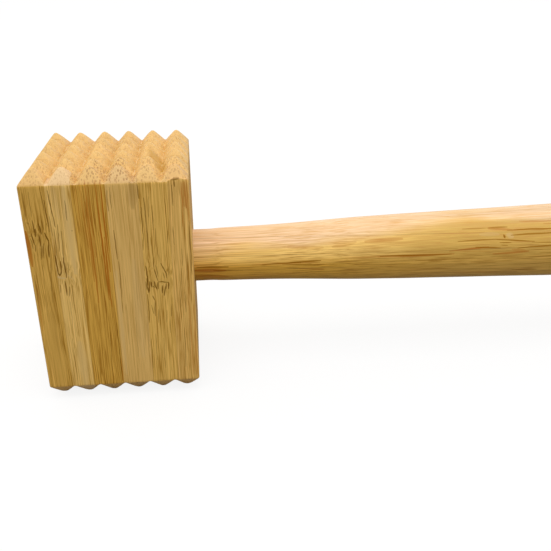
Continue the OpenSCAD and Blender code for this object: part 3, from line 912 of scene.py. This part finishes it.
# the handle's front, with the same columns
HANDLE_MARKS = (
    (61.0, -0.8, 74.0, -1.1, 0.42, 0.9), (68.0, -2.6, 80.0, -3.4, 0.34, 0.8),
    (60.0, -4.9, 76.0, -6.2, 0.34, 0.6), (88.0, -0.4, 104.0, -0.2, 0.34, 0.75),
    (98.0, -0.2, 112.0, 0.6, 0.38, 0.95), (96.0, -0.9, 112.0, -1.8, 0.34, 0.85),
    (111.0, -1.9, 117.0, -1.2, 0.26, 0.6), (137.0, 1.7, 167.0, 1.5, 0.34, 0.95),
    (152.0, -0.8, 171.0, -0.6, 0.26, 0.7), (158.0, -1.2, 164.0, -1.3, 0.28, 0.6),
    (184.0, 11.0, 192.0, 11.2, 0.34, 0.7), (170.0, 6.6, 187.0, 6.9, 0.30, 0.85),
    (186.0, 6.9, 203.0, 5.8, 0.34, 0.9), (196.0, 3.2, 216.0, 3.9, 0.42, 0.95),
    (178.0, 4.0, 189.0, 3.4, 0.36, 0.85), (193.0, 8.3, 216.0, 8.8, 0.36, 0.85),
    (202.0, 5.4, 218.0, 5.0, 0.26, 0.7), (206.0, 0.9, 226.0, 1.2, 0.26, 0.55),
    (190.0, 8.5, 190.3, 7.4, 0.62, 0.95), (188.0, 5.7, 193.0, 5.5, 0.24, 0.8),
    (189.0, 4.6, 192.0, 4.4, 0.24, 0.8), (196.0, -7.5, 207.0, -8.0, 0.34, 0.7),
    (192.0, 10.0, 216.0, 10.3, 0.32, 0.8), (172.0, 10.8, 184.0, 11.0, 0.24, 0.55),
    (148.0, 3.6, 170.0, 3.9, 0.22, 0.4), (176.0, -3.0, 187.0, -3.1, 0.26, 0.35))
HANDLE_RED = (
    (60.0, -2.4, 73.0, -2.7, 1.50, 0.95), (60.0, -5.8, 74.0, -6.6, 1.60, 0.60),
    (84.0, -0.4, 112.0, -0.2, 0.50, 0.55), (103.0, -3.0, 114.0, -3.8, 0.40, 0.6),
    (122.0, 1.4, 141.0, 1.8, 0.34, 0.6), (136.0, 1.5, 168.0, 1.6, 0.70, 0.70),
    (166.0, 2.8, 184.0, 4.0, 0.44, 0.9), (170.0, 2.4, 184.0, 2.2, 0.26, 0.45),
    (186.0, 1.0, 201.0, 1.8, 0.60, 0.7), (194.0, 2.7, 200.0, 1.8, 0.90, 0.45),
    (99.0, 6.2, 113.0, 5.7, 1.10, 0.30), (117.0, 5.8, 127.0, 7.6, 1.10, 0.30),
    (131.0, 7.6, 147.0, 8.2, 1.10, 0.42), (184.0, 10.9, 194.0, 10.2, 0.60, 0.55),
    (190.0, 10.0, 214.0, 10.2, 0.34, 0.55), (170.0, -8.2, 190.0, -9.0, 0.45, 0.5),
    (198.0, 12.7, 216.0, 12.6, 0.30, 0.65), (208.0, 11.9, 218.0, 11.7, 0.24, 0.6),
    (160.0, 9.4, 182.0, 9.8, 0.24, 0.4), (128.0, 4.8, 141.0, 5.4, 0.24, 0.4),
    (62.0, 5.9, 72.0, 5.7, 0.24, 0.4), (64.0, 9.0, 76.0, 8.7, 0.20, 0.35),
    (92.0, 8.3, 112.0, 8.0, 0.20, 0.30), (146.0, -5.2, 168.0, -5.6, 0.30, 0.35),
    (84.0, -5.6, 104.0, -6.0, 0.34, 0.35), (212.0, -5.0, 236.0, -5.6, 0.40, 0.4),
    (216.0, 6.4, 240.0, 6.0, 0.36, 0.5), (222.0, -1.2, 248.0, -0.8, 0.34, 0.45))
HANDLE_PALE = ((191.4, 8.6, 194.0, 7.6, 1.2, 0.45), (180.0, 9.0, 188.0, 8.8, 0.9, 0.25))

# from the bottom up: name, z from, z to, brightness, amount of red, strength of the streaks
STAVES = (("handle_bottom_stave", -40, -9.6, 0.97, 0.3, 0.68),
          ("handle_lower_stave", -9.6, -3.2, 1.0, 0.35, 0.70),
          ("handle_core_stave", -3.2, 3.2, 1.03, 0.15, 0.74),
          ("handle_upper_stave", 3.2, 9.6, 0.98, 0.1, 0.72),
          ("handle_top_stave", 9.6, 40, 1.0, 0.0, 0.66))


# ---------------------------------------------------------------- the pieces

def strip_look(node, ply, strip, slot):
    """Material settings of a head strip: chosen for the front ply, scattered for the others."""
    if ply == 1:
        return FRONT[strip]
    warm = 0.97 + 0.06 * hash01(ply, strip, 6)
    shade = 0.86 + 0.24 * hash01(ply, strip, 8)
    dots = 0.15 + 0.35 * hash01(ply, strip, 7) ** 2
    if ply == 2:
        dots = 0.95 if node == "head_ply2_strip3" else 0.5
    has_joint = hash01(ply, strip, 2) < 0.5
    return dict(tint=[tuple(v * shade for v in color) for color in BY_SLOT[slot]],
                end_tint=(END[0] * warm, END[1] * warm, END[2] * (2 * warm - 1)),
                node_z=-60 + 120 * hash01(ply, strip, 1) if has_joint else None,
                red=0.4 * hash01(ply, strip, 3) ** 2, streak=0.8 + 0.3 * hash01(ply, strip, 4),
                dots=dots, flip=hash01(ply, strip, 5) < 0.3)


def make_strip(node, slot, cutter):
    ply = int(node.split("ply")[1].split("_")[0])
    strip = int(node.split("strip")[1].split("_")[0])
    lo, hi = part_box(node)
    x0, x1 = round(lo.x / MM, 3), round(hi.x / MM, 3)
    # glued-up strips meet on whole ply planes, so the ply's own sides are used, not the box's
    y0, y1 = (ply - 1) * HEAD_DEPTH / PLIES, ply * HEAD_DEPTH / PLIES
    front_y, back_y = y0 - HEAD_DEPTH / 2, y1 - HEAD_DEPTH / 2
    obj = build_strip(node + "_bamboo", x0, x1, y0, y1,
                      top_cut=node.endswith("_lower"), bottom_cut=node.endswith("_upper"))
    if x1 > BORE_X and front_y < NECK_R and back_y > -NECK_R:
        bore_out(obj, cutter)
    finish_mesh(obj, sharp_angle=38)
    return obj, bamboo_material(
        "bamboo_" + node, "Z", box=(x0, x1, front_y, back_y, -TIP_Z, TIP_Z),
        outer=(x0 < 0.01, x1 > HEAD_LENGTH - 0.01, ply == 1, ply == PLIES, True, True),
        seed=ply * 7.3 + strip * 3.1, lean=side_leans(x0, x1) if ply == 1 else (0.0, 0.0),
        **strip_look(node, ply, strip, slot))


def make_stave(node):
    k = [stave[0] for stave in STAVES].index(node)
    _, z_lo, z_hi, brightness, red, streak = STAVES[k]
    obj = build_stave(node + "_bamboo", z_lo, z_hi)
    finish_mesh(obj, sharp_angle=32)

    def here(strokes):
        return tuple(s for s in strokes if min(s[1], s[3]) < z_hi + 2 and max(s[1], s[3]) > z_lo - 2)

    # only the z sides of a stave are glued, so its box needs no x and y
    return obj, bamboo_material(
        "bamboo_" + node, "X", box=(None,) * 4 + (max(z_lo, -17), min(z_hi, 17)),
        outer=(True, True, True, True, k == 0, k == 4), seed=41.0 + k * 5.7, tint=brightness,
        end_tint=(0.70, 0.39, 0.085), red=red, streak=streak, flip=k % 2 == 1,
        marks=here(HANDLE_MARKS), red_marks=here(HANDLE_RED), pale_marks=here(HANDLE_PALE))


slots = {part["node"]: part["material_slot"] for part in frame["record"]["subparts"]}
cutter = make_cutter()
for node in sorted(frame["nodes"]):
    if node.startswith("head_"):
        obj, material = make_strip(node, slots[node], cutter)
    else:
        obj, material = make_stave(node)
    obj.data.materials.clear()
    obj.data.materials.append(material)
    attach(obj, "root")
    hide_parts(node)
bpy.data.objects.remove(cutter)

# ---------------------------------------------------------------- floor, light, camera

scene = bpy.context.scene
scene.view_settings.view_transform = "Standard"
scene.view_settings.look = "None"


def floor_material():
    material = bpy.data.materials.new("pale_floor")
    tree = clear_tree(material)
    speckle = tree.noise(tree.make("ShaderNodeTexCoord", output="Object"), scale=900.0, detail=3.0)
    tint = tree.ramp(speckle, 0.3, 0.7, to=(0.90, 0.92))
    diffuse = tree.make("ShaderNodeBsdfDiffuse", {"Color": tree.vec(tint, tint, tint)})
    glow = tree.make("ShaderNodeEmission", {"Strength": 1.0})
    bright = tree.mix_shader(0.86, diffuse, glow)
    # the camera sees a bright floor, other rays a dim one
    dim = tree.make("ShaderNodeBsdfDiffuse", {"Color": (0.22, 0.212, 0.20, 1)})
    camera_ray = tree.make("ShaderNodeLightPath", output="Is Camera Ray")
    seen = tree.mix_shader(camera_ray, dim, bright)
    # the floor hides nothing when the camera looks up from under it
    below = tree.make("ShaderNodeNewGeometry", output="Backfacing") * camera_ray
    shader = tree.mix_shader(below, seen, tree.make("ShaderNodeBsdfTransparent"))
    tree.node("ShaderNodeOutputMaterial", {"Surface": shader})
    return material


def make_floor():
    bm = bmesh.new()
    bmesh.ops.create_grid(bm, x_segments=40, y_segments=40, size=3.0)
    mesh = bpy.data.meshes.new("studio_floor")
    bm.to_mesh(mesh)
    bm.free()
    floor = bpy.data.objects.new("studio_floor", mesh)
    floor.location = (0.1, 0, cad_lo.z - 0.0002)
    scene.collection.objects.link(floor)
    mesh.materials.append(floor_material())


def make_world():
    """White to the camera; as light, stronger from behind the mallet and from above."""
    world = bpy.data.worlds.new("studio")
    scene.world = world
    tree = clear_tree(world)
    camera_ray = tree.make("ShaderNodeLightPath", output="Is Camera Ray")
    _, back, up = tree.xyz(tree.make("ShaderNodeTexCoord", output="Generated"))
    strength = (tree.ramp(back, -1.0, 1.0, to=(0.72, 1.10), smooth=False)
                + tree.ramp(up, 0.0, 1.0, to=(0.0, 0.20), smooth=False))
    ambient = tree.make("ShaderNodeBackground",
                        {"Color": (1, 0.99, 0.97, 1), "Strength": strength})
    white = tree.make("ShaderNodeBackground", {"Color": (1, 1, 1, 1), "Strength": 1.0})
    shader = tree.mix_shader(camera_ray, ambient, white)
    tree.node("ShaderNodeOutputWorld", {"Surface": shader})


def make_softbox():
    location, target = Vector((0.10, -0.55, 2.45)), Vector((0.1, 0, 0))
    light = bpy.data.lights.new("overhead_softbox", "AREA")
    light.shape = "RECTANGLE"
    light.size = 1.8
    light.size_y = 1.4
    light.energy = 22.0
    light.color = (1.0, 0.985, 0.96)
    obj = bpy.data.objects.new("overhead_softbox", light)
    obj.location = location
    obj.rotation_mode = "QUATERNION"
    obj.rotation_quaternion = (target - location).to_track_quat("-Z", "Y")
    scene.collection.objects.link(obj)


def make_camera():
    pitch, yaw, roll = math.radians(25.589), math.radians(-6.4395), math.radians(0.0493)
    # the middle of the head's front edge at x = 0, seen from the camera, in head lengths
    to_right, to_up, ahead = -1.513517, -0.117987, 4.346715
    level_right = Vector((math.cos(yaw), math.sin(yaw), 0))
    level_forward = Vector((-math.sin(yaw), math.cos(yaw), 0))
    vertical = Vector((0, 0, 1))
    forward = math.cos(pitch) * level_forward - math.sin(pitch) * vertical
    pitched_up = math.cos(pitch) * vertical + math.sin(pitch) * level_forward
    right = math.cos(roll) * level_right + math.sin(roll) * pitched_up
    up = math.cos(roll) * pitched_up - math.sin(roll) * level_right
    eye = (-(right * to_right + up * to_up + forward * ahead) * (HEAD_LENGTH * MM)
           + Vector((0, -HEAD_DEPTH / 2 * MM, 0)))
    data = bpy.data.cameras.new("camera")
    data.sensor_width = 36.0
    data.lens = 45.3168784
    data.clip_start = 0.01
    data.clip_end = 20.0
    camera = bpy.data.objects.new("camera", data)
    matrix = Matrix.Identity(4)
    for k in range(3):
        matrix[k] = right[k], up[k], -forward[k], eye[k]
    camera.matrix_world = matrix
    scene.collection.objects.link(camera)
    scene.camera = camera


make_floor()
make_world()
make_softbox()
make_camera()
